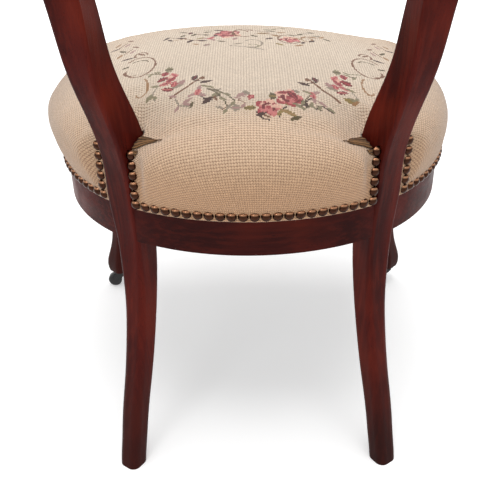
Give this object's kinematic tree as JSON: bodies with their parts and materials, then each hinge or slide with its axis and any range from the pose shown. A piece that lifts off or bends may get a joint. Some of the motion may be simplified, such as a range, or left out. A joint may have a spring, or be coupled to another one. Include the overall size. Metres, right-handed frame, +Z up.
{
  "type": "balloon back chair",
  "caption": "Side chair with an open balloon back, waisted cross rail, domed stuffed-over needlework seat edged with nails, curved legs, and castors on the front feet.",
  "frame": {"origin": "on the floor, under the middle of the bounding box", "axes": "+X to the sitter's left, +Y to the back of the chair, +Z up"},
  "size_m": [0.507, 0.4939, 0.8906],
  "materials": {
    "mahogany": "French-polished dark red mahogany with a fine straight grain",
    "beech": "plain unpolished beech",
    "screw_steel": "dull bright steel",
    "jute_webbing": "woven jute strap",
    "blued_tacks": "blued cut tacks",
    "spring_steel": "copper-washed spring wire",
    "hessian": "coarse hessian",
    "horsehair": "curled horsehair stuffing",
    "needlework": "wool needlework on a cream ground, aged to tan near the edge",
    "black_cloth": "black bottoming cloth",
    "antique_brass": "domed upholstery nails, antique bronze",
    "black_iron": "japanned black",
    "black_wheel": "black vulcanite"
  },
  "bodies": {
    "chair_frame": {"back_nails": "antique_brass", "back_seat_rail": "mahogany", "castor_plate_left": "black_iron", "castor_plate_right": "black_iron", "castor_screws_left": "screw_steel", "castor_screws_right": "screw_steel", "coil_springs": "spring_steel", "corner_block_screws": "screw_steel", "crest_rail": "mahogany", "crest_rail_dowels": "beech", "dust_cover": "black_cloth", "dust_cover_tacks": "blued_tacks", "front_corner_block_left": "beech", "front_corner_block_right": "beech", "front_leg_left": "mahogany", "front_leg_right": "mahogany", "front_seat_rail": "mahogany", "mid_rail": "mahogany", "mid_rail_dowels": "beech", "rear_corner_block_left": "beech", "rear_corner_block_right": "beech", "rear_leg_left": "mahogany", "rear_leg_right": "mahogany", "seat_cover": "needlework", "seat_rail_dowels": "beech", "seat_stuffing": "horsehair", "side_and_front_nails": "antique_brass", "side_seat_rail_left": "mahogany", "side_seat_rail_right": "mahogany", "spring_canvas": "hessian", "stile_nails_left": "antique_brass", "stile_nails_right": "antique_brass", "webbing_front_to_back": "jute_webbing", "webbing_side_to_side": "jute_webbing", "webbing_tacks": "blued_tacks"},
    "castor_fork_left": {"castor_fork_left": "black_iron", "castor_axle_left": "black_iron"},
    "castor_wheel_left": {"castor_wheel_left": "black_wheel"},
    "castor_fork_right": {"castor_fork_right": "black_iron", "castor_axle_right": "black_iron"},
    "castor_wheel_right": {"castor_wheel_right": "black_wheel"}
  },
  "joints": [
    {"name": "castor_swivel_left", "type": "hinge", "parent": "chair_frame", "child": "castor_fork_left", "pos_m": [0.231, -0.20446, 0.028], "axis": [0, 0, 1], "continuous": true},
    {"name": "castor_roll_left", "type": "hinge", "parent": "castor_fork_left", "child": "castor_wheel_left", "pos_m": [0.242, -0.20446, 0.0115], "axis": [0, 1, 0], "continuous": true},
    {"name": "castor_swivel_right", "type": "hinge", "parent": "chair_frame", "child": "castor_fork_right", "pos_m": [-0.231, -0.20446, 0.028], "axis": [0, 0, 1], "continuous": true},
    {"name": "castor_roll_right", "type": "hinge", "parent": "castor_fork_right", "child": "castor_wheel_right", "pos_m": [-0.22, -0.20446, 0.0115], "axis": [0, 1, 0], "continuous": true}
  ]
}
